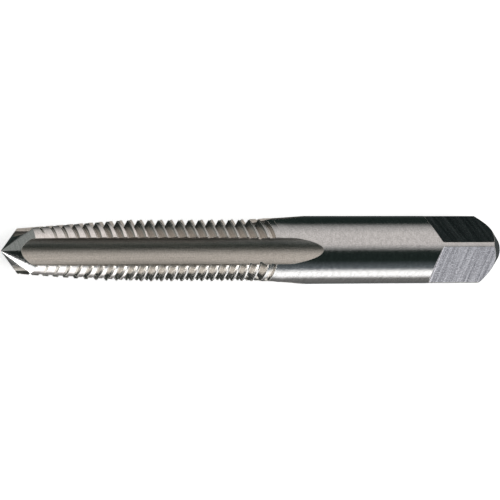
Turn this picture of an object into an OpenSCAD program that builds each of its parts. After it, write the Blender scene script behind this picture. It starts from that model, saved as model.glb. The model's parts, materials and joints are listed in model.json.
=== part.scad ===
// Straight-flute hand tap of the taper kind, ground from one steel bar.
// It lies on its side along X, point towards -X and drive square towards +X.
// The origin is under the middle of its length, on the surface that it lies on.

/* [Whole tap] */
// Length from the male point to the far end of the drive square
tap_len = 69.6; // [64:0.1:80]

/* [Thread] */
// Diameter over the thread crests
thread_d = 7.94; // [7.6:0.02:8.02]
// Distance from one thread crest to the next
pitch = 1.411; // [1.25:0.001:1.6]
// Included angle of the thread form
form_angle = 60; // [56:1:62]
// Width of the flat at the thread root
root_w = 0.28; // [0.1:0.01:0.36]
// Width of the flat on a full thread crest
crest_w = 0.17; // [0.1:0.01:0.26]
// Distance from the point to the first groove, across the first land
thread_start = 2.6; // [1.5:0.05:3]
// Distance from the point to where the last thread groove fades out
thread_end = 36.7; // [30:0.1:38]
// Length over which the last grooves fade out
fade_len = 2.1; // [1:0.1:3]

/* [Lead and point] */
// Diameter of the body where the male point meets the tapered lead
nose_d = 6.4; // [5.6:0.02:6.8]
// Included angle of the male point
point_angle = 88; // [80:1:110]
// Distance from the point to the first full thread
lead_end = 15.4; // [12:0.1:18]
// Fall of the lead behind each cutting edge, measured at the heel of the land
lead_relief = 0.2; // [0:0.01:0.24]

/* [Flutes] */
// Number of flutes, and of the lands between them
flutes = 4; // [3:1:4]
// Diameter of the solid core left between the flutes
core_d = 3.4; // [3.2:0.02:4.2]
// Radius of the flute's bottom on the side of the heel
heel_r = 1.9; // [1.8:0.05:2.3]
// Distance from the middle of the flute to the heel of the land beside it
heel_dist = 1.6; // [1.4:0.01:1.7]
// Radius of the flute's bottom on the side of the cutting edge
face_r = 2.5; // [2.2:0.05:3]
// Distance from the middle of the flute to the cutting edge beside it
face_dist = 1.82; // [1.6:0.01:1.9]
// Angle between the cutting face and the middle of the flute
face_lean = 10; // [5:0.5:24]
// Radius of the sweep by which the bottom of each flute runs out into the shank
runout_r = 70; // [50:0.5:90]
// Distance from the point to where each flute starts to run out
runout_start = 24.4; // [20:0.1:26]

/* [Shank] */
// Diameter of the shank
shank_d = 8.08; // [8.06:0.02:8.6]
// Length of the step between the thread and the shank
step_len = 0.8; // [0.6:0.1:1.2]
// Diameter of the flat left on the far end by its chamfer
end_d = 3.1; // [1:0.1:4.4]
// Angle between the end chamfer and the axis
chamfer_angle = 45; // [35:1:50]

/* [Drive square] */
// Distance across the flats
square_af = 6.05; // [5.9:0.05:6.4]
// Length of the flats, from the foot of their ramps to the far end
square_len = 9.93; // [8:0.01:12]
// Angle between the axis and the ramp by which each flat runs out into the shank
ramp_angle = 45; // [35:1:60]
// Radius of the rounding at the foot of the ramp
ramp_foot_r = 0.3; // [0.1:0.05:0.6]
// Turn of the corners of the square away from the flutes
square_turn = 8.5; // [0:0.5:45]

/* [Hidden] */
$fn = 96;
// How far cuts reach past the surface that they open
over = 3;
// How far the grooves reach past the thread crests, less than the gap between them
groove_over = 0.08;
// Part of a flute, in degrees, left between the lead cuts of two lands
land_gap = 1;
// How far before the corner of the point the lead cuts start
lead_before = 0.7;

thread_r = thread_d / 2;
core_r = core_d / 2;
nose_r = nose_d / 2;
shank_r = shank_d / 2;
end_r = end_d / 2;

// Radial depth and root radius of the thread
flank = tan(form_angle / 2);
thread_h = (pitch - root_w - crest_w) / (2 * flank);
root_r = thread_r - thread_h;

// Lean of a groove where it crosses the middle of a land
lead_angle = atan(pitch / (PI * (thread_d - thread_h)));

// Places along the axis, measured from the point
point_len = nose_r / tan(point_angle / 2);
groove_turns = ceil((thread_end - thread_start) / pitch);
chamfer_len = (shank_r - end_r) / tan(chamfer_angle);

// Angles from the middle of a land to its cutting edge and to its heel
land_step = 360 / flutes;
land_edge = land_step / 2 - asin(face_dist / thread_r);
land_heel = land_step / 2 - asin(heel_dist / thread_r);
groove_half = (land_step / 2 + land_heel) / 2;

// Turn of the grinding wheel's sweep that carries a flute's bottom clear of the shank
runout_turn = acos(1 - (shank_r - core_r + over) / runout_r);

// Slope of the lead, and the sideways shift that relieves it behind the cutting edge
lead_slope = (thread_r - nose_r) / (lead_end - point_len);
relief_shift = lead_relief / (sin(land_edge) + sin(land_heel));

// Round bar turned to its outline: point, threaded length, shank and end chamfer
module turned_bar() {
    rotate_extrude()
        polygon([
            [0, 0],
            [thread_r, thread_r / tan(point_angle / 2)],
            [thread_r, thread_end],
            [shank_r, thread_end + step_len],
            [shank_r, tap_len - chamfer_len],
            [end_r, tap_len],
            [0, tap_len]
        ]);
}

// Radius of the lead's grinding cone at a distance z from the point
function lead_r(z) = nose_r + (z - point_len) * lead_slope - relief_shift * sin(land_edge);

// What is ground off one land to taper its lead, with its middle towards +X
module lead_grind() {
    z0 = point_len - lead_before;
    z1 = lead_end + 2 * lead_relief / lead_slope;
    half = (land_step - land_gap) / 2;
    reach = 2 * thread_r;
    difference() {
        translate([0, 0, z0])
            linear_extrude(z1 - z0)
                polygon([
                    [0, 0],
                    [reach * cos(half), -reach * sin(half)],
                    [reach, 0],
                    [reach * cos(half), reach * sin(half)]
                ]);
        translate([0, -relief_shift, z0 - over])
            cylinder(h = z1 - z0 + 2 * over, r1 = lead_r(z0 - over), r2 = lead_r(z1 + over));
    }
}

// One thread groove across one land, with the middle of the land towards +X
module groove(lift) {
    r0 = root_r + lift;
    r1 = thread_r + groove_over;
    w0 = root_w / 2;
    w1 = w0 + (r1 - r0) * flank;
    rotate([lead_angle, 0, 0])
        rotate([0, 0, -groove_half])
            rotate_extrude(angle = 2 * groove_half)
                polygon([[r0, -w0], [r1, -w1], [r1, w1], [r0, w0]]);
}

// How far the bottom of a groove at z has risen out of the thread depth
function fade(z) = thread_h * max(0, z - (thread_end - fade_len)) / fade_len;

// Right-hand thread: each land holds one groove a pitch, a share of a pitch later than the last land
module thread_grooves() {
    for (land = [0 : flutes - 1], turn = [0 : groove_turns]) {
        z = thread_start + pitch * (turn + land / flutes);
        if (z < thread_end)
            rotate([0, 0, land_step * (land + 0.5)])
                translate([0, 0, z])
                    groove(fade(z));
    }
}

// Half of a flute's section, from its middle to a wall that leans outwards and passes edge_dist at the crests
module flute_side(r, edge_dist, lean, way) {
    edge_h = sqrt(thread_r * thread_r - edge_dist * edge_dist) - core_r;
    top = 2 * r;
    intersection() {
        translate([way * r, 0])
            circle(r = r);
        polygon([
            [0, 0],
            [way * top, 0],
            [way * top, edge_dist + (top - edge_h) * tan(lean)],
            [0, edge_dist - edge_h * tan(lean)]
        ]);
    }
}

// Section of a flute with its bottom at 0, which opens towards +X if way is 1 and towards -X if it is -1
module flute_section(way) {
    mirror([0, 1])
        flute_side(heel_r, heel_dist, 0, way);
    flute_side(face_r, face_dist, face_lean, way);
}

// One flute: a round-bottomed channel that leaves the bar along the sweep of the grinding wheel
module flute() {
    translate([core_r, 0, -over])
        linear_extrude(runout_start + over)
            flute_section(1);
    translate([core_r + runout_r, 0, runout_start])
        rotate([90, 0, 180])
            rotate_extrude(angle = runout_turn)
                translate([runout_r, 0])
                    flute_section(-1);
}

// One flat of the drive square, cut on the side towards +X, with the ramp that ends it
module drive_flat() {
    flat_r = square_af / 2;
    reach = shank_r - flat_r + over;
    touch = ramp_foot_r * tan(ramp_angle / 2);
    translate([flat_r, shank_r + over, tap_len - square_len])
        rotate([90, 0, 0])
            linear_extrude(2 * (shank_r + over)) {
                polygon([
                    [0, touch],
                    [touch * sin(ramp_angle), -touch * cos(ramp_angle)],
                    [reach, -reach / tan(ramp_angle)],
                    [reach, square_len + over],
                    [0, square_len + over]
                ]);
                translate([ramp_foot_r, touch])
                    circle(r = ramp_foot_r);
            }
}

module tap() {
    color("silver")
        translate([-tap_len / 2, 0, shank_r])
            rotate([0, 90, 0])
                difference() {
                    turned_bar();
                    for (land = [0 : flutes - 1])
                        rotate([0, 0, land_step * (land + 0.5)])
                            lead_grind();
                    thread_grooves();
                    for (turn = [0 : flutes - 1])
                        rotate([0, 0, land_step * turn])
                            flute();
                    for (side = [0 : 3])
                        rotate([0, 0, 90 * side + 45 - square_turn])
                            drive_flat();
                }
}

tap();
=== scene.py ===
# %% [markdown]
# # A hand tap, ground from one bar of tool steel
#
# A hand tap cuts the screw thread in a drilled hole. It is one piece of hardened steel: a turned
# bar gets its thread, its tapered lead, four flutes and a drive square by taking steel away, so
# this lesson makes it the same way. Each tool that cuts the real one is modelled as a solid, and
# a boolean modifier takes that solid off the bar. Every cutter carries the finish that it leaves
# behind, so each ground, milled or turned surface gets its own material by itself.
#
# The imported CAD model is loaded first. It is the frame that all sizes and places come from.

# %% Load the frame
import json
import math

import bpy
from mathutils import Matrix, Vector


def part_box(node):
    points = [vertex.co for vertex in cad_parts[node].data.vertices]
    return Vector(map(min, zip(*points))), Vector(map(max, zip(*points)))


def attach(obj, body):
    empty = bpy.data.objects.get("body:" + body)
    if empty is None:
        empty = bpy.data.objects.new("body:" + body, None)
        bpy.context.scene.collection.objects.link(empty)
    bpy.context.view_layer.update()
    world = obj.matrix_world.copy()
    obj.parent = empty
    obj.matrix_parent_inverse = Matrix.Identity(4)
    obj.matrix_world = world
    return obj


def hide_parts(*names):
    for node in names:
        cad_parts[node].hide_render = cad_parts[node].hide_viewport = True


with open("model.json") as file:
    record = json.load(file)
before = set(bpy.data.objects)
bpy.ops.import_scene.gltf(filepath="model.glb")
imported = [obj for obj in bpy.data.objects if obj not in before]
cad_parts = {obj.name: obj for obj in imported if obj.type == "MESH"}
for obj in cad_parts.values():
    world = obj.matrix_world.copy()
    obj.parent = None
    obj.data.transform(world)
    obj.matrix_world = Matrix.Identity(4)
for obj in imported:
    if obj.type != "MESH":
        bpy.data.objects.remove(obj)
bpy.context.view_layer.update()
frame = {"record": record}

bpy.ops.object.select_all(action="DESELECT")

# %% [markdown]
# ## Sizes
#
# The length comes from the CAD node's box and the shank's radius from the record. The other
# driving sizes are those of this tap: 5/16 inch across and 18 threads to the inch.
#
# The model is made in millimetres with the point at x = 0 and its axis on the X axis, because
# Blender's cutting and merging tools have fixed tolerances that suit numbers near one. At the end
# it is shrunk to metres and moved to its place in the frame.

# %% Sizes in millimetres
MM = 0.001

box_low, box_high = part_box("tap")
tap_len = (box_high.x - box_low.x) / MM
shank_pin = next(m for m in frame["record"]["mounts"] if m["name"] == "shank")
shank_r = shank_pin["dims"]["r_mm"]

thread_r = 3.97
pitch = 1.411
root_w = 0.28
crest_w = 0.17
thread_start = 2.6
thread_end = 36.7
fade_len = 2.1
step_len = 0.8

nose_r = 3.2
point_half = math.radians(44)
lead_end = 15.4
lead_relief = 0.2
end_r = 1.55

flutes = 4
core_r = 1.7
heel_r = 1.9
heel_dist = 1.6
# The CAD model has this wall upright. The lean moves it by 0.17 mm at most, and turns it to
# face the part of the room that it shows in the photo
heel_lean = math.radians(9)
face_r = 2.5
face_dist = 1.82
face_lean = math.radians(10)
runout_start = 24.4
runout_r = 70

square_af = 6.05
square_len = 9.93
ramp_angle = math.radians(45)
ramp_foot_r = 0.3
square_turn = 8.5

form_half = math.radians(30)
flank = math.tan(form_half)
thread_h = (pitch - root_w - crest_w) / (2 * flank)
root_r = thread_r - thread_h
point_len = nose_r / math.tan(point_half)
print(f"length {tap_len:.2f}, shank radius {shank_r:.2f}, thread depth {thread_h:.3f}")

# %% [markdown]
# ## Finishes, named first
#
# Tool steel shows how each surface was made. The finishes are made as empty materials here, so
# that every solid can carry them in the same order, and get their nodes further down. A boolean
# cut then keeps the right finish on the surface that each tool leaves.

# %% Empty materials, one for each way of cutting
FINISHES = [
    "steel_ground_round",
    "steel_ground_lead",
    "steel_ground_thread",
    "steel_ground_flute",
    "steel_bend_painted_shade",
    "steel_ground_flat",
    "steel_turned_cone",
]
for finish_name in FINISHES:
    bpy.data.materials.new(finish_name)
ROUND, LEAD, THREAD, FLUTE, BEND, FLAT, CONE = range(len(FINISHES))


def carry_finishes(solid, index):
    """Gives a solid all the finishes, with every face showing the one at index."""
    for finish_name in FINISHES:
        solid.data.materials.append(bpy.data.materials[finish_name])
    for face in solid.data.polygons:
        face.material_index = index


print("finishes:", ", ".join(FINISHES))

# %% [markdown]
# ## Small helpers for working by hand in code
#
# Operators act on the active object and on what is selected. These helpers do what a hand does
# with the mouse: choose one object, choose faces or edges by where they lie, apply a move, make a
# turned copy, and take one solid off another.

# %% Helpers
FACETS = 180
QUARTER = math.pi / 2
# A face looks along an axis where that part of its normal is more than this
FACING = 0.9


def choose(solid):
    """Selects one object alone and makes it active."""
    bpy.ops.object.select_all(action="DESELECT")
    solid.select_set(True)
    bpy.context.view_layer.objects.active = solid


def added(name):
    """Names the primitive that was just added and sets its place into its mesh."""
    solid = bpy.context.object
    solid.name = name
    bpy.ops.object.transform_apply(location=True, rotation=True, scale=True)
    return solid


def edit_part(solid, kind, test):
    """Enters edit mode with only the faces or edges selected for which test says yes."""
    choose(solid)
    bpy.ops.object.mode_set(mode="EDIT")
    bpy.ops.mesh.select_mode(type=kind)
    bpy.ops.mesh.select_all(action="DESELECT")
    bpy.ops.object.mode_set(mode="OBJECT")
    parts = solid.data.polygons if kind == "FACE" else solid.data.edges
    for part in parts:
        part.select = test(part)
    bpy.ops.object.mode_set(mode="EDIT")


def close_edit():
    """Turns all faces outwards and leaves edit mode."""
    bpy.ops.mesh.select_all(action="SELECT")
    bpy.ops.mesh.normals_make_consistent(inside=False)
    bpy.ops.object.mode_set(mode="OBJECT")


def turned_copy(solid, name, degrees):
    """Copies a solid with its own mesh and turns the copy about the tap's axis."""
    copy = solid.copy()
    copy.data = solid.data.copy()
    copy.name = name
    bpy.context.collection.objects.link(copy)
    choose(copy)
    copy.rotation_euler = (math.radians(degrees), 0, 0)
    bpy.ops.object.transform_apply(location=True, rotation=True, scale=True)
    return copy


def ring_of(solid, count):
    """The solid and its copies, spread evenly round the tap's axis."""
    step = 360 / count
    return [solid] + [turned_copy(solid, f"{solid.name}_{k}", step * k) for k in range(1, count)]


def cut_away(work, tool):
    """Takes the tool's solid off the work and throws the tool away."""
    cut = work.modifiers.new("cut", "BOOLEAN")
    cut.operation = "DIFFERENCE"
    cut.solver = "MANIFOLD"
    cut.object = tool
    choose(work)
    bpy.ops.object.modifier_apply(modifier="cut")
    bpy.data.objects.remove(tool)


print("helpers ready, round solids get", FACETS, "facets")

# %% [markdown]
# ## The turned bar
#
# On the real tap this is a bar of hardened tool steel, turned to a point, a threaded length, a
# slightly thicker shank and a chamfered end, then ground round. It could be a profile wound by a
# Screw modifier. Here one short cylinder is grown out of both of its end faces by extrude and
# resize, station by station, as a turner works along a bar, because each station is then a
# size that can be read. The shank is grown in many short rings so that no face is long and thin.

# %% Grow the bar out of one ring of its shank
shank_start = thread_end + step_len
shank_end = tap_len - (shank_r - end_r)
RINGS = 40
ring_len = (shank_end - shank_start) / RINGS

bpy.ops.mesh.primitive_cylinder_add(
    vertices=FACETS,
    radius=shank_r,
    depth=ring_len,
    end_fill_type="NGON",
    rotation=(0, QUARTER, 0),
    location=(shank_start + ring_len / 2, 0, 0),
)
tap = added("tap_steel")


def grow(solid, side, stations):
    """Extrudes the end face on one side through stations of (place along the axis, radius)."""
    edit_part(solid, "FACE", lambda face: face.normal.x * side > FACING)
    for place, radius in stations:
        bpy.ops.object.mode_set(mode="OBJECT")
        rim = [v.co for v in solid.data.vertices if v.select]
        old_place = rim[0].x
        old_radius = math.hypot(rim[0].y, rim[0].z)
        bpy.ops.object.mode_set(mode="EDIT")
        bpy.ops.mesh.extrude_region_move(
            TRANSFORM_OT_translate={"value": (place - old_place, 0, 0)}
        )
        growth = radius / old_radius
        bpy.ops.transform.resize(value=(1, growth, growth), center_override=(place, 0, 0))


# A flat of a few hundredths on the point keeps the cone's facets from meeting in one smooth corner
POINT_FLAT = 0.03
rings = [(shank_start + ring_len * k, shank_r) for k in range(2, RINGS + 1)]
grow(tap, 1, rings + [(tap_len, end_r)])
bpy.ops.object.mode_set(mode="OBJECT")
cone_start = thread_r / math.tan(point_half)
grow(tap, -1, [(thread_end, thread_r), (cone_start, thread_r), (0, POINT_FLAT)])
close_edit()

carry_finishes(tap, ROUND)
for face in tap.data.polygons:
    if face.center.x < cone_start or face.center.x > shank_end:
        face.material_index = CONE
print("bar:", len(tap.data.polygons), "faces,", [round(s, 2) for s in tap.dimensions])

# %% [markdown]
# ## The thread
#
# The real thread is ground by a wheel with the shape of one groove, which follows the pitch as
# the bar turns. The same is done here: a small face with the groove's section is wound round the
# axis by a Screw modifier, one pitch a turn. Rings stacked a pitch apart would be simpler, but no
# nut could climb them, and this gives a true helix. The last turns are lifted out of the depth,
# as the wheel leaves the bar, so the thread fades into the step of the shank.

# %% Wind the grinding wheel's groove into a coil
GROOVE_OVER = 0.08
coil_top = thread_r + GROOVE_OVER
# The first groove crosses the land that lies 135 degrees from the top, counted towards +Y
FIRST_LAND = 135
coil_start = thread_start + pitch * FIRST_LAND / 360 - pitch
coil_turns = math.ceil((thread_end - coil_start) / pitch)

bpy.ops.object.select_all(action="DESELECT")
bpy.ops.mesh.primitive_plane_add(
    size=1, rotation=(QUARTER, 0, 0), location=(coil_start, 0, (root_r + coil_top) / 2)
)
coil = added("thread_coil")
for vertex in coil.data.vertices:
    at_top = vertex.co.z > (root_r + coil_top) / 2
    half_w = root_w / 2 + (coil_top - root_r) * flank if at_top else root_w / 2
    vertex.co.x = coil_start + math.copysign(half_w, vertex.co.x - coil_start)
    vertex.co.z = coil_top if at_top else root_r

wind = coil.modifiers.new("wind", "SCREW")
wind.axis = "X"
wind.angle = math.tau
wind.screw_offset = pitch
wind.iterations = coil_turns
wind.steps = wind.render_steps = FACETS
wind.use_merge_vertices = False
wind.use_smooth_shade = False
choose(coil)
bpy.ops.object.modifier_apply(modifier="wind")

bpy.ops.object.mode_set(mode="EDIT")
bpy.ops.mesh.select_mode(type="EDGE")
bpy.ops.mesh.select_all(action="DESELECT")
bpy.ops.mesh.select_non_manifold()
bpy.ops.mesh.fill()
close_edit()
print("groove wound", coil_turns, "turns, from", round(coil_start, 2), "mm")

# %% Lift the coil's last turns out of the thread depth
for vertex in coil.data.vertices:
    lift = thread_h * max(0, vertex.co.x - (thread_end - fade_len)) / fade_len
    radius = math.hypot(vertex.co.y, vertex.co.z)
    vertex.co.y *= (radius + lift) / radius
    vertex.co.z *= (radius + lift) / radius
carry_finishes(coil, THREAD)
print("thread coil:", len(coil.data.polygons), "faces")

# %% [markdown]
# ## The lead
#
# The lead is the long taper that starts the cut. A grinding wheel tapers each land, and falls
# away behind the cutting edge so that the land's heel doesn't rub in the hole. A plain cone on
# the bar would be simpler, but all four lands would then rub. What the wheel takes off one land
# is a wedge between two flutes, less a cone whose axis is moved sideways: that cone stands higher
# at the cutting edge than at the heel. One wedge is made and turned to four.

# %% What is ground off each land for the lead
# OVER is how far cuts reach past what they open, WEDGE_GAP what is left between two wedges
OVER = 3.0
WEDGE_GAP = 0.03
WEDGE_REACH = 1.6
LEAD_BEFORE = 0.7
land_middle = math.pi / flutes
land_edge = land_middle - math.asin(face_dist / thread_r)
land_heel = land_middle - math.asin(heel_dist / thread_r)
lead_slope = (thread_r - nose_r) / (lead_end - point_len)
relief_shift = lead_relief / (math.sin(land_edge) + math.sin(land_heel))
wedge_start = point_len - LEAD_BEFORE
wedge_end = lead_end + 2 * lead_relief / lead_slope
wedge_w = thread_r * WEDGE_REACH
# The first wedge covers the land between +Y and +Z, and its cone moves towards +Y and -Z
shift_y = relief_shift * math.sin(land_middle)
shift_z = -relief_shift * math.cos(land_middle)


def lead_radius(place):
    """Radius of the lead's cone at a place along the axis."""
    return nose_r + (place - point_len) * lead_slope - relief_shift * math.sin(land_edge)


bpy.ops.object.select_all(action="DESELECT")
bpy.ops.mesh.primitive_cone_add(
    vertices=FACETS,
    radius1=lead_radius(wedge_start - OVER),
    radius2=lead_radius(wedge_end + OVER),
    depth=wedge_end - wedge_start + 2 * OVER,
    end_fill_type="NGON",
    rotation=(0, QUARTER, 0),
    location=((wedge_start + wedge_end) / 2, shift_y, shift_z),
)
lead_cone = added("lead_cone")
carry_finishes(lead_cone, LEAD)

bpy.ops.object.select_all(action="DESELECT")
wedge_mid = (wedge_w + WEDGE_GAP) / 2
bpy.ops.mesh.primitive_cube_add(
    size=1,
    location=((wedge_start + wedge_end) / 2, wedge_mid, wedge_mid),
    scale=(wedge_end - wedge_start, wedge_w - WEDGE_GAP, wedge_w - WEDGE_GAP),
)
wedge = added("lead_wedge")
carry_finishes(wedge, LEAD)
cut_away(wedge, lead_cone)
wedges = ring_of(wedge, flutes)
print("lead wedges:", len(wedges), "of", len(wedge.data.polygons), "faces")

# %% [markdown]
# ## The flutes
#
# A flute lets chips out and gives each land its cutting edge. Its bottom is round, and a straight
# wall rises from it on each side and leans outwards by 9 or 10 degrees. The round is tighter on
# the side of the heel. A large grinding wheel makes the flute, so it ends in a long sweep where
# the wheel's rim leaves the bar. A profile curve swept along a path could give the same form.
# Here a disc is pushed into the section's shape point by point, extruded along the straight part
# and then spun about the wheel's centre, because the spin is what the real wheel's rim does.

# %% Shape the flute's section out of a disc
SECTION_POINTS = 128
SWEEP_STEPS = 40
# The round bottom takes this share of the points on each side, and the wall takes the rest
ROUND_SHARE = 0.75
TOP_SHARE = 0.99
sweep_turn = math.acos(1 - (shank_r - core_r + OVER) / runout_r)
section_top = core_r + 2 * face_r


def wall_foot(radius, edge_dist, lean):
    """Angle along the round bottom at which the wall that ends in the land's edge begins."""
    edge_h = math.sqrt(thread_r**2 - edge_dist**2) - core_r
    off_centre = edge_dist * math.cos(lean) + (radius - edge_h) * math.sin(lean)
    return math.asin(off_centre / radius) - lean


heel_side = (heel_r, wall_foot(heel_r, heel_dist, heel_lean), heel_lean)
face_side = (face_r, wall_foot(face_r, face_dist, face_lean), face_lean)

bpy.ops.object.select_all(action="DESELECT")
bpy.ops.mesh.primitive_circle_add(
    vertices=SECTION_POINTS,
    radius=1,
    fill_type="NGON",
    rotation=(0, QUARTER, 0),
    location=(-OVER, 0, 0),
)
flute = added("flute_wheel")
for vertex in flute.data.vertices:
    turn = math.atan2(vertex.co.y, -vertex.co.z)
    share = abs(turn) / math.pi
    radius, foot, lean = heel_side if turn > 0 else face_side
    swing = foot * min(share / ROUND_SHARE, 1)
    side = radius * math.sin(swing)
    height = core_r + radius * (1 - math.cos(swing))
    if share > ROUND_SHARE:
        rise = (section_top - height) * (share - ROUND_SHARE) / (1 - ROUND_SHARE)
        height += rise
        side += rise * math.tan(lean)
    # The topmost point closes the section over its middle
    if share > TOP_SHARE:
        side = 0
    vertex.co.y = math.copysign(side, turn)
    vertex.co.z = height
print("flute section:", len(flute.data.vertices), "points")

# %% Extrude it along the flute and spin it about the wheel's centre
edit_part(flute, "FACE", lambda face: True)
bpy.ops.mesh.extrude_region_move(TRANSFORM_OT_translate={"value": (runout_start + OVER, 0, 0)})
bpy.ops.mesh.spin(
    steps=SWEEP_STEPS,
    dupli=False,
    angle=sweep_turn,
    center=(runout_start, 0, core_r + runout_r),
    axis=(0, 1, 0),
)
close_edit()
carry_finishes(flute, FLUTE)
# The bend under the heel gets its own finish, which is painted darker towards its wall as painted
# shade
BEND_FROM = 0.8
for face in flute.data.polygons:
    if face.center.y > BEND_FROM and face.normal.y < FACING:
        face.material_index = BEND
flute_wheels = ring_of(flute, flutes)
print("flute wheels:", len(flute_wheels), "of", len(flute.data.polygons), "faces")

# %% [markdown]
# ## The drive square
#
# A tap wrench turns the tap by a square ground on its end. The bar is thinner than the square is
# across its corners, so a strip of the round bar is left at each corner. Each flat ends towards
# the shank in a short ramp of 45 degrees with a small rounding at its foot, the shape of the
# wheel's dressed edge. So the cutter is a block with one edge moved outwards for the ramp and the
# edge below it bevelled for the rounding. A loft from square to round would not give the flats
# their curved ends, which come by themselves where a flat block meets a round bar.

# %% A block with a ramp for each flat
SIDES = 4
FOOT_STEPS = 8
SAME_PLACE = 0.001
flat_r = square_af / 2
block_len = square_len + OVER
block_h = shank_r + OVER - flat_r
square_start = tap_len - square_len

bpy.ops.object.select_all(action="DESELECT")
bpy.ops.mesh.primitive_cube_add(
    size=1,
    location=(square_start + block_len / 2, 0, flat_r + block_h / 2),
    scale=(block_len, 2 * (shank_r + OVER), block_h),
)
block = added("flat_cutter")


def is_inner_edge(edge, height):
    """True for the block's edge at a height, on its side towards the point."""
    ends = [block.data.vertices[i].co for i in edge.vertices]
    at_start = all(abs(end.x - square_start) < SAME_PLACE for end in ends)
    return at_start and all(abs(end.z - height) < SAME_PLACE for end in ends)


edit_part(block, "EDGE", lambda edge: is_inner_edge(edge, flat_r + block_h))
bpy.ops.transform.translate(value=(-block_h / math.tan(ramp_angle), 0, 0))
bpy.ops.object.mode_set(mode="OBJECT")
edit_part(block, "EDGE", lambda edge: is_inner_edge(edge, flat_r))
foot = ramp_foot_r * math.tan(ramp_angle / 2)
bpy.ops.mesh.bevel(offset=foot, segments=FOOT_STEPS, profile=0.5, affect="EDGES")
close_edit()
carry_finishes(block, FLAT)
flat_cutters = []
for k in range(SIDES):
    degrees = 360 / SIDES * k - 45 - square_turn
    flat_cutters.append(turned_copy(block, f"flat_cutter_{k}", degrees))
bpy.data.objects.remove(block)
print("flat cutters:", len(flat_cutters))

# %% [markdown]
# ## Cut the bar
#
# Thread, lead, flutes and square are cut one after the other. A tap maker cuts the flutes before
# the thread is ground, but a cut takes away the same steel in any order. The manifold solver is
# used because all these solids are closed, and it stays exact and fast on them. Points that lie
# closer together than half a thousandth of a millimetre are then merged, and faces that meet at
# less than 14 degrees are shaded as one smooth surface, so edges stay sharp.

# %% All cuts, then a look at the mesh
MERGE_DIST = 0.0005
SMOOTH_ANGLE = math.radians(14)
for tool in [coil] + wedges + flute_wheels + flat_cutters:
    cut_away(tap, tool)

choose(tap)
bpy.ops.object.mode_set(mode="EDIT")
bpy.ops.mesh.select_all(action="SELECT")
bpy.ops.mesh.remove_doubles(threshold=MERGE_DIST)
bpy.ops.mesh.dissolve_degenerate(threshold=MERGE_DIST)
bpy.ops.mesh.quads_convert_to_tris(quad_method="BEAUTY", ngon_method="BEAUTY")
bpy.ops.mesh.select_all(action="DESELECT")
bpy.ops.mesh.select_non_manifold()
bpy.ops.object.mode_set(mode="OBJECT")
open_edges = sum(edge.select for edge in tap.data.edges)
bpy.ops.object.shade_smooth_by_angle(angle=SMOOTH_ANGLE)
face_counts = [0] * len(FINISHES)
for face in tap.data.polygons:
    face_counts[face.material_index] += 1
print("cut tap:", len(tap.data.polygons), "triangles, open edges:", open_edges)
print("triangles by finish:", dict(zip(FINISHES, face_counts)))

# %% [markdown]
# ## Into the frame
#
# The frame's origin lies under the middle of the tap, on the surface that it rests on. The tap is
# shrunk to metres, moved there, and its place goes into its mesh. It rides on the root body and
# stands for the CAD node, whose shape it has.

# %% Shrink, place and hand over
tap.scale = (MM, MM, MM)
tap.location = (-tap_len / 2 * MM, 0, shank_r * MM)
choose(tap)
bpy.ops.object.transform_apply(location=True, rotation=True, scale=True)
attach(tap, "root")
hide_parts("tap")
print("tap in metres:", [round(s, 5) for s in tap.dimensions])

# %% [markdown]
# ## What tool steel shows
#
# Bare steel has hardly any colour of its own: it shows the room, blurred by the fine marks of
# the tool that cut it. So every finish here is the same bare metal with a slightly warm or cool
# tint, and differs in its marks: which way they run, how far apart and how deep they are, and how
# rough the steel is between them. Marks of a turning tool follow rings about the axis, marks of a
# flute's wheel run along the axis, and marks of the wheel on the flats run straight across it.
# All patterns read Object coordinates, moved so that zero lies on the axis and scaled to
# millimetres.
#
# Real grinding marks are 0.01 to 0.03 mm wide, far below what a picture of the whole tap shows.
# They are drawn here as coarse as they need to be to show, which is said at each finish.

# %% Colours and nodes


def linear(hex_code):
    """Turns an sRGB hex colour into the linear colour that shaders use."""
    channels = [int(hex_code[i : i + 2], 16) / 255 for i in (1, 3, 5)]
    curved = [c / 12.92 if c <= 0.04045 else ((c + 0.055) / 1.055) ** 2.4 for c in channels]
    return (*curved, 1)


def add(tree, kind, settings=None, links=None):
    """Adds a node. Settings name its options or the sockets to set, links the sockets to feed."""
    node = tree.nodes.new(kind)
    for name, value in (settings or {}).items():
        if isinstance(name, int) or name in node.inputs:
            node.inputs[name].default_value = value
        else:
            setattr(node, name, value)
    for name, source in (links or {}).items():
        tree.links.new(source, node.inputs[name])
    return node


print("sRGB mid grey sends out", round(linear("#808080")[0], 3), "of white's light")

# %% Where on the tap a point lies, in millimetres from the axis


def millimetres(tree):
    """Object coordinates with zero on the axis, in millimetres."""
    place = add(tree, "ShaderNodeTexCoord")
    settings = {"Location": (0, 0, -shank_r), "Scale": (1 / MM, 1 / MM, 1 / MM)}
    centred = add(tree, "ShaderNodeMapping", settings, {"Vector": place.outputs["Object"]})
    return centred.outputs["Vector"]


def along_rings(tree, on_axis, drift):
    """Place along the axis, distance from it, and a slow drift so that rings aren't perfect."""
    parts = add(tree, "ShaderNodeSeparateXYZ", links={"Vector": on_axis})
    off_axis = {"Y": parts.outputs["Y"], "Z": parts.outputs["Z"]}
    radial = add(tree, "ShaderNodeCombineXYZ", links=off_axis)
    length = add(
        tree, "ShaderNodeVectorMath", {"operation": "LENGTH"}, {0: radial.outputs["Vector"]}
    )
    slow = add(
        tree, "ShaderNodeMath", {"operation": "MULTIPLY", 1: drift}, {0: parts.outputs["Y"]}
    )
    ring = {"X": parts.outputs["X"], "Y": length.outputs["Value"], "Z": slow.outputs["Value"]}
    return add(tree, "ShaderNodeCombineXYZ", links=ring).outputs["Vector"]


print("patterns are centred", shank_r, "mm above the floor")
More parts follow.
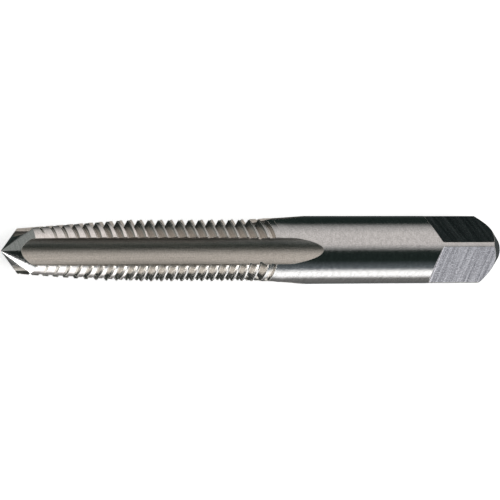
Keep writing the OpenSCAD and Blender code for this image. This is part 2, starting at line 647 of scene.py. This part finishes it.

# %% [markdown]
# ## Marks, rubbed edges with a painted highlight, and painted shade
#
# Three things vary over the steel. The tool's marks are a noise drawn out along the way that the
# tool went. The rubbed edges come from a bevel node, which rounds sharp edges by a few hundredths
# of a millimetre, as honing and handling do on the real tap: where it bends the surface away from
# the plain one, the steel is rubbed, made rougher and painted lighter as a painted highlight. The
# bend of a flute under its heel is painted darker towards its wall, as painted shade.

# %% What varies over the steel
# The rub and its painted highlight start where the bevel bends the surface by 4 degrees and are
# full at 16 degrees. These are the cosines of the two
RUB_HIGHLIGHT_STARTS = 0.998
RUB_HIGHLIGHT_FULL = 0.96


def tool_marks(tree, on_axis, direction, width, length):
    """Noise drawn out along the marks, which follow rings, run along the tap or across it."""
    followed = along_rings(tree, on_axis, width / length) if direction == "ring" else on_axis
    scale = {
        "ring": (1 / width, 1 / width, 1 / width),
        "long": (1 / length, 1 / width, 1 / width),
        "across": (1 / width, 1 / length, 1 / length),
    }[direction]
    stretched = add(tree, "ShaderNodeMapping", {"Scale": scale}, {"Vector": followed})
    noise = add(
        tree,
        "ShaderNodeTexNoise",
        {"Scale": 1.0, "Detail": 3.0, "Roughness": 0.6},
        {"Vector": stretched.outputs["Vector"]},
    )
    return noise.outputs["Fac"]


def rubbed_edges_and_highlight(tree, edge_mm):
    """The normal with its edges rounded, and how much the steel is rubbed and gets a painted
    highlight, from 0 to 1.
    """
    rounded = add(tree, "ShaderNodeBevel", {"samples": 6, "Radius": edge_mm * MM})
    surface = add(tree, "ShaderNodeNewGeometry")
    same_way = add(
        tree,
        "ShaderNodeVectorMath",
        {"operation": "DOT_PRODUCT"},
        {0: rounded.outputs["Normal"], 1: surface.outputs["Normal"]},
    )
    rub_and_highlight = add(
        tree,
        "ShaderNodeMapRange",
        {"From Min": RUB_HIGHLIGHT_STARTS, "From Max": RUB_HIGHLIGHT_FULL},
        {"Value": same_way.outputs["Value"]},
    )
    return rounded.outputs["Normal"], rub_and_highlight.outputs["Result"]


def painted_shade_share(tree, on_axis, near, far, share):
    """Painted shade, falling from 1 to share between two distances from the middle of a flute. The
    flutes lie across Y and Z, so the smaller of the two is that distance."""
    parts = add(tree, "ShaderNodeSeparateXYZ", links={"Vector": on_axis})
    off_y = add(tree, "ShaderNodeMath", {"operation": "ABSOLUTE"}, {0: parts.outputs["Y"]})
    off_z = add(tree, "ShaderNodeMath", {"operation": "ABSOLUTE"}, {0: parts.outputs["Z"]})
    off_middle = add(
        tree,
        "ShaderNodeMath",
        {"operation": "MINIMUM"},
        {0: off_y.outputs["Value"], 1: off_z.outputs["Value"]},
    )
    kept = add(
        tree,
        "ShaderNodeMapRange",
        {"From Min": near, "From Max": far, "To Min": 1.0, "To Max": share},
        {"Value": off_middle.outputs["Value"]},
    )
    return kept.outputs["Result"]


print("rub starts at", round(math.degrees(math.acos(RUB_HIGHLIGHT_STARTS)), 1), "degrees")

# %% [markdown]
# ## One way to build every steel finish
#
# The steel's colour swings between a darker and a lighter tint with its marks and its grain. The
# same marks and grain are the heights of two bump nodes. Rubbed edges are duller, and painted
# lighter as a painted highlight. An image of scratched metal would show more chance, but its marks
# would not follow the real ones.

# %% Build a steel finish
# A light colour painted onto rubbed edges as a painted highlight
EDGE_HIGHLIGHT = "#efece6"
RUBBED_ROUGH = 0.65


def steel(name, tints, rough, marks, grain, edge_mm, painted_shade=None):
    """Fills a finish. Tints are (dark, light) and rough is (smoothest, roughest). Marks are
    (direction, width, length, depth), grain is (size, depth) and painted_shade is (near, far,
    share), a painted shade that darkens the colour, with all sizes in millimetres."""
    material = bpy.data.materials[name]
    material.use_nodes = True
    tree = material.node_tree
    tree.nodes.clear()
    on_axis = millimetres(tree)
    direction, width, length, mark_depth = marks
    grain_size, grain_depth = grain
    mark = tool_marks(tree, on_axis, direction, width, length)
    grain_noise = add(
        tree,
        "ShaderNodeTexNoise",
        {"Scale": 1 / grain_size, "Detail": 1.0, "Roughness": 0.5},
        {"Vector": on_axis},
    )
    speck = grain_noise.outputs["Fac"]
    rounded, rub_and_highlight = rubbed_edges_and_highlight(tree, edge_mm)

    both = add(tree, "ShaderNodeMath", {"operation": "ADD"}, {0: mark, 1: speck})
    swing = {"From Min": 0.7, "From Max": 1.3}
    worn = add(tree, "ShaderNodeMapRange", swing, {"Value": both.outputs["Value"]})
    # Sockets 6 and 7 of a mix node are its two colours, and output 2 is the mixed one
    tint = add(
        tree,
        "ShaderNodeMix",
        {"data_type": "RGBA", 6: linear(tints[0]), 7: linear(tints[1])},
        {0: worn.outputs["Result"]},
    )
    skin = tint.outputs[2]
    # Painted shade: the colour is scaled down towards the wall of a flute
    if painted_shade:
        shade_inputs = {0: skin, "Scale": painted_shade_share(tree, on_axis, *painted_shade)}
        skin = add(
            tree, "ShaderNodeVectorMath", {"operation": "SCALE"}, shade_inputs
        ).outputs["Vector"]
    # Painted highlight: the colour is mixed towards a light one on rubbed edges
    shown = add(
        tree,
        "ShaderNodeMix",
        {"data_type": "RGBA", 7: linear(EDGE_HIGHLIGHT)},
        {0: rub_and_highlight, 6: skin},
    )
    dull = add(
        tree,
        "ShaderNodeMapRange",
        {"From Min": 0.3, "From Max": 0.7, "To Min": rough[0], "To Max": rough[1]},
        {"Value": mark},
    )
    # Sockets 2 and 3 of a mix node are its two numbers, and output 0 is the mixed one
    frosted = add(
        tree,
        "ShaderNodeMix",
        {"data_type": "FLOAT", 3: RUBBED_ROUGH},
        {0: rub_and_highlight, 2: dull.outputs["Result"]},
    )
    mark_bump = add(
        tree,
        "ShaderNodeBump",
        {"Strength": 1.0, "Distance": mark_depth * MM},
        {"Height": mark, "Normal": rounded},
    )
    grain_bump = add(
        tree,
        "ShaderNodeBump",
        {"Strength": 1.0, "Distance": grain_depth * MM},
        {"Height": speck, "Normal": mark_bump.outputs["Normal"]},
    )
    shader = add(
        tree,
        "ShaderNodeBsdfPrincipled",
        {"Metallic": 1.0},
        {
            "Base Color": shown.outputs[2],
            "Roughness": frosted.outputs[0],
            "Normal": grain_bump.outputs["Normal"],
        },
    )
    add(tree, "ShaderNodeOutputMaterial", links={"Surface": shader.outputs["BSDF"]})


print("steel finishes swing between two tints, with edges", EDGE_HIGHLIGHT)

# %% [markdown]
# ## The seven finishes
#
# Clean tool steel sends back half to two thirds of the light in every colour, so all the tints
# lie close together. The ground round surfaces are the smoothest. The flutes are ground fast by a
# coarse wheel, so they are the dullest and have a faint tan. The flats are ground across, one
# after the other, and keep the boldest marks.

# %% Finishes of the round surfaces
# The shank's wheel leaves pits of about 0.02 mm. Drawn at 0.13 mm they are the fine speckle that
# frays the border of each reflection. Its rings are drawn 0.5 mm wide, and so broken up that they
# hardly show
steel(
    "steel_ground_round",
    tints=("#bcbbba", "#dad9d8"),
    rough=(0.11, 0.16),
    marks=("ring", 0.5, 0.6, 0.003),
    grain=(0.13, 0.008),
    edge_mm=0.08,
)
# The lead has the lightest tints of the tap, a painted highlight that makes it brighter than the
# shank. Its rings are 0.02 mm apart, but drawn 0.4 mm wide and broken up, and only soften the
# reflections
steel(
    "steel_ground_lead",
    tints=("#e2dcd9", "#faf7f4"),
    rough=(0.14, 0.2),
    marks=("ring", 0.4, 0.6, 0.003),
    grain=(0.15, 0.006),
    edge_mm=0.08,
)
# The thread's flanks have the wheel's rings, which are 0.02 mm apart and drawn at 0.1 mm. They
# give each flank a fine line along its groove
steel(
    "steel_ground_thread",
    tints=("#b6b1ab", "#d6d1ca"),
    rough=(0.14, 0.22),
    marks=("ring", 0.10, 5, 0.003),
    grain=(0.15, 0.004),
    edge_mm=0.05,
)
# The point is turned, and its rings are a little coarser than ground ones: about 0.05 mm apart,
# drawn at 0.12 mm. They break up its bright and dark facets a little
steel(
    "steel_turned_cone",
    tints=("#b8b8b6", "#d6d5d3"),
    rough=(0.12, 0.2),
    marks=("ring", 0.12, 4, 0.003),
    grain=(0.14, 0.008),
    edge_mm=0.05,
)
print("round finishes filled")

# %% Finishes of the flutes and the flats
# Long streaks follow the wheel's way along the flute. They are 0.02 mm wide and drawn at 0.12 mm,
# so that the flute's bottom looks drawn out lengthwise
steel(
    "steel_ground_flute",
    tints=("#b4afa7", "#dad5cd"),
    rough=(0.34, 0.44),
    marks=("long", 0.12, 7, 0.012),
    grain=(0.15, 0.004),
    edge_mm=0.12,
)
# The bend under the heel has the same streaks, and is painted darker towards its wall as painted
# shade
steel(
    "steel_bend_painted_shade",
    tints=("#b4afa7", "#dad5cd"),
    rough=(0.34, 0.44),
    marks=("long", 0.12, 7, 0.012),
    grain=(0.15, 0.004),
    edge_mm=0.06,
    painted_shade=(0.8, 1.25, 0.2),
)
# Straight marks run across each flat in bands of about half a millimetre, which is their true
# size: the wheel leaves a shallow step each time it moves over
steel(
    "steel_ground_flat",
    tints=("#74747a", "#d3d2d7"),
    rough=(0.12, 0.2),
    marks=("across", 0.45, 12, 0.010),
    grain=(0.14, 0.008),
    edge_mm=0.12,
)
print("flute and flat finishes filled")

# %% [markdown]
# ## The floor
#
# In the photo the tap lies on plain white with no shadow to be seen, as on a light table. The
# floor is a wide white sheet with a soft glow of its own, which nearly drowns the tap's shadow, as
# such a table does. A plain white background would be simpler, but then the tap would hang in
# the air. The steel doesn't mirror the floor: the tent further down does that work.

# %% A glowing white floor
FLOOR_SIZE = 20
FLOOR_GLOW = 0.75
bpy.ops.object.select_all(action="DESELECT")
bpy.ops.mesh.primitive_plane_add(size=FLOOR_SIZE)
floor = bpy.context.object
floor.name = "floor"
floor.visible_glossy = False
floor.visible_shadow = False

paper = bpy.data.materials.new("paper_white")
paper.use_nodes = True
tree = paper.node_tree
tree.nodes.clear()
diffuse = add(tree, "ShaderNodeBsdfDiffuse", {"Color": linear("#f4f4f3")})
glow = add(tree, "ShaderNodeEmission", {"Color": linear("#ffffff"), "Strength": FLOOR_GLOW})
lit = add(tree, "ShaderNodeAddShader", links={0: diffuse.outputs[0], 1: glow.outputs[0]})
add(tree, "ShaderNodeOutputMaterial", links={"Surface": lit.outputs[0]})
floor.data.materials.append(paper)
print("floor:", FLOOR_SIZE, "m wide, at the height", round(floor.location.z, 3))

# %% [markdown]
# ## The room
#
# Behind the floor's edge the camera sees nearly white. What the steel sees past the ends of the
# tent is a dim, slightly green room, which keeps the ends of the tap dark. One world does both:
# it asks whether a ray comes from the camera.

# %% Two backgrounds in one world
room = bpy.data.worlds.new("studio_room")
bpy.context.scene.world = room
room.use_nodes = True
tree = room.node_tree
tree.nodes.clear()
seen = add(tree, "ShaderNodeBackground", {"Color": linear("#fbfbfb"), "Strength": 1.0})
dim_room = add(tree, "ShaderNodeBackground", {"Color": linear("#2b3230"), "Strength": 1.0})
path = add(tree, "ShaderNodeLightPath")
either = add(
    tree,
    "ShaderNodeMixShader",
    links={0: path.outputs["Is Camera Ray"], 1: dim_room.outputs[0], 2: seen.outputs[0]},
)
add(tree, "ShaderNodeOutputWorld", links={"Surface": either.outputs[0]})
print("room:", room.name)

# %% [markdown]
# ## The light tent
#
# A photographer who shoots bright steel bends white, grey and black paper round it, because the
# steel shows nothing else. A round bar shows that paper as bands along its length, and each band
# stands for one direction round the axis. So the tent is a tube about the tap's axis, and its
# tone depends on the angle from the top: a wide soft panel over the far side, a dark gap over
# the top, and a narrow bright strip low on the near side. Area lamps could make the same bands,
# but each needs its own place and size, while a tube needs one row of tones.
#
# The cone of the point looks back past the camera, to another part of the tube. There the panel
# is dimmer and the strip is much brighter, so the tube has a second row of tones.

# %% A tube about the tap's axis
TENT_R = 0.35
TENT_LEN = 3.2
TENT_END = 0.8
bpy.ops.object.select_all(action="DESELECT")
bpy.ops.mesh.primitive_cylinder_add(
    vertices=96,
    radius=TENT_R,
    depth=TENT_LEN,
    end_fill_type="NOTHING",
    rotation=(0, QUARTER, 0),
    location=(TENT_END - TENT_LEN / 2, 0, shank_r * MM),
)
tent = added("light_tent")
tent.visible_camera = False
tent.visible_diffuse = False
tent.visible_shadow = False
print("tent:", TENT_LEN, "m long,", 2 * TENT_R, "m across")

# %% The tones round the axis
# Each tone is the paper that stands there, as bright steel shows it. The strengths make up for
# the light that the steel swallows
WHITE = "#ffffff"
PANEL = "#b6b2b0"
HALF_LIT = "#929190"
COOL_HAZE = "#5a6064"
WARM_HAZE = "#686766"
WALL = "#383c3c"
GAP = "#1a2220"
# Degrees from the top towards +Y: the strip, its haze, the dark gap, the panel, the dark back
SHANK_LIGHT = 1.7
BESIDE_SHANK = [
    (-180, WALL),
    (-112, WARM_HAZE),
    (-98, WHITE),
    (-81, WHITE),
    (-67, COOL_HAZE),
    (-38, GAP),
    (-4, GAP),
    (8, HALF_LIT),
    (18, PANEL),
    (58, PANEL),
    (82, HALF_LIT),
    (101, GAP),
    (140, GAP),
    (160, WALL),
    (180, WALL),
]
# The same row as the cone sees it: a hard bright strip and a dim panel on black
DIM_PANEL = "#4a4c4b"
DIM_WALL = "#1c1e1e"
BLACK = "#0a0d0c"
POINT_LIGHT = 5.0
BESIDE_POINT = [
    (-180, DIM_WALL),
    (-115, DIM_WALL),
    (-109, WHITE),
    (-89, WHITE),
    (-83, DIM_WALL),
    (-38, BLACK),
    (2, BLACK),
    (9, DIM_PANEL),
    (104, DIM_PANEL),
    (114, BLACK),
    (180, DIM_WALL),
]
print("tones:", len(BESIDE_SHANK), "beside the shank,", len(BESIDE_POINT), "beside the point")

# %% The tent's cloth
# The first row of tones gives way to the second between these places along the axis, in mm
ROW_CHANGE = (-150, -50)

cloth = bpy.data.materials.new("tent_cloth")
cloth.use_nodes = True
tree = cloth.node_tree
tree.nodes.clear()
parts = add(tree, "ShaderNodeSeparateXYZ", links={"Vector": millimetres(tree)})
angle = add(
    tree,
    "ShaderNodeMath",
    {"operation": "ARCTAN2"},
    {0: parts.outputs["Y"], 1: parts.outputs["Z"]},
)
share = add(
    tree,
    "ShaderNodeMapRange",
    {"From Min": -math.pi, "From Max": math.pi},
    {"Value": angle.outputs["Value"]},
)
tones = []
for stops in (BESIDE_POINT, BESIDE_SHANK):
    ramp = add(tree, "ShaderNodeValToRGB", links={"Fac": share.outputs["Result"]})
    while len(ramp.color_ramp.elements) < len(stops):
        ramp.color_ramp.elements.new(1.0)
    for element, (degrees, colour) in zip(ramp.color_ramp.elements, stops):
        element.position = degrees / 360 + 0.5
        element.color = linear(colour)
    tones.append(ramp.outputs["Color"])
beside = add(
    tree,
    "ShaderNodeMapRange",
    {"From Min": ROW_CHANGE[0], "From Max": ROW_CHANGE[1]},
    {"Value": parts.outputs["X"]},
)
cloth_colour = add(
    tree,
    "ShaderNodeMix",
    {"data_type": "RGBA"},
    {0: beside.outputs["Result"], 6: tones[0], 7: tones[1]},
)
strength = add(
    tree,
    "ShaderNodeMapRange",
    {"To Min": POINT_LIGHT, "To Max": SHANK_LIGHT},
    {"Value": beside.outputs["Result"]},
)
lamp = add(
    tree,
    "ShaderNodeEmission",
    links={"Color": cloth_colour.outputs[2], "Strength": strength.outputs["Result"]},
)
add(tree, "ShaderNodeOutputMaterial", links={"Surface": lamp.outputs[0]})
tent.data.materials.append(cloth)
print("cloth:", len(tree.nodes), "nodes")

# %% [markdown]
# ## A soft lamp overhead
#
# The tent doesn't light the floor, so one large lamp hangs over it and lifts the paper to white.
# The steel doesn't mirror it, because its reflection would fall into the dark gap of the tent.

# %% The overhead lamp
LAMP_SIZE = 2.0
LAMP_HEIGHT = 1.5
LAMP_WATTS = 14
overhead_data = bpy.data.lights.new("overhead", "AREA")
overhead_data.size = LAMP_SIZE
overhead_data.energy = LAMP_WATTS
overhead = bpy.data.objects.new("overhead", overhead_data)
overhead.location = (0, 0, LAMP_HEIGHT)
overhead.visible_camera = False
overhead.visible_glossy = False
bpy.context.collection.objects.link(overhead)
print("overhead lamp:", LAMP_WATTS, "W at", LAMP_HEIGHT, "m")

# %% [markdown]
# ## The camera
#
# The photo looks at the tap from above and from the side of its point, 33.4 degrees off the
# vertical, with a long lens: the far end is hardly smaller than the near one. The tilt and the
# roll were found by laying measured places of the tap, such as thread crests, the ends of the
# flutes and the square's corners, over the same places in the photo. The lens is given by its
# focal length in pixels of a picture 500 pixels wide.

# %% Place the camera
TILT = math.radians(33.4)
ROLL = math.radians(0.195)
DISTANCE = 0.9175
FOCAL_PX = 7760
IMAGE_PX = 500
# Where the middle of the picture lies, in metres from the middle of the tap
AIM_X = -0.00025
AIM_Y = 0.000018

back = Vector((-math.sin(TILT), 0, math.cos(TILT)))
right = Vector((math.cos(TILT), 0, math.sin(TILT)))
up = Vector((0, 1, 0))
rolled_right = math.cos(ROLL) * right - math.sin(ROLL) * up
rolled_up = math.sin(ROLL) * right + math.cos(ROLL) * up
aim = Vector((AIM_X, AIM_Y, shank_r * MM))

camera_data = bpy.data.cameras.new("camera")
camera_data.sensor_width = 36
camera_data.lens = FOCAL_PX / IMAGE_PX * camera_data.sensor_width
camera_data.clip_start = 0.05
camera_data.clip_end = 50
camera = bpy.data.objects.new("camera", camera_data)
turn = Matrix((rolled_right, rolled_up, back)).transposed()
camera.matrix_world = Matrix.Translation(aim + back * DISTANCE) @ turn.to_4x4()
bpy.context.collection.objects.link(camera)
bpy.context.scene.camera = camera
bpy.context.scene.view_settings.view_transform = "Standard"
print("lens", round(camera_data.lens, 1), "mm, from", round(DISTANCE, 2), "m away")
